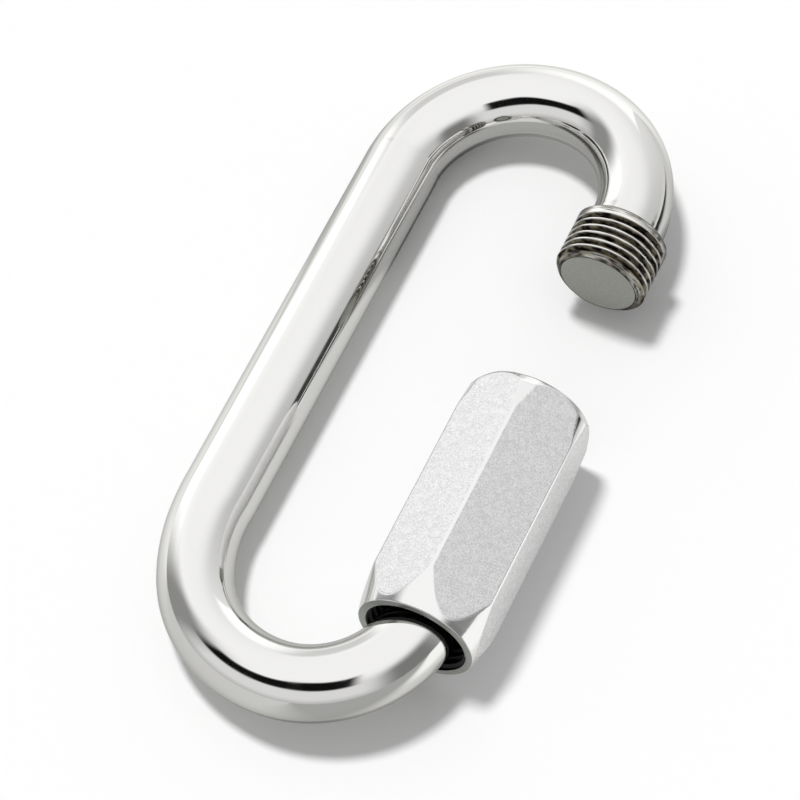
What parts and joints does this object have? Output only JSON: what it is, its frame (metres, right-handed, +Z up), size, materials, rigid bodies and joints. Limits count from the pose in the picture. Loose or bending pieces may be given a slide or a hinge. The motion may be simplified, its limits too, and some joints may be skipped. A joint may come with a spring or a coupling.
{
  "type": "chain quick link",
  "caption": "Polished steel chain quick link: a round bar bent into a C with threaded ends and a long hexagonal screw sleeve, shown with its gate open.",
  "frame": {"origin": "middle of the underside of the bounding box, with the link lying on its long arm and on one corner of the sleeve", "axes": "+Y along both arms from the lower bend to the upper bend, +X from the long arm to the gate arm, +Z up"},
  "size_m": [0.0446, 0.1016, 0.0178],
  "materials": {
    "polished_bar": "mirror-polished stainless steel",
    "satin_sleeve": "fine satin flats between polished corners and tapered ends"
  },
  "bodies": {
    "link": {"link_body": "polished_bar"},
    "sleeve": {"sleeve_nut": "satin_sleeve"}
  },
  "joints": [
    {"name": "sleeve_travel", "type": "slide", "parent": "link", "child": "sleeve", "axis": [0, 1, 0], "range_m": [0, 0.0273]}
  ]
}
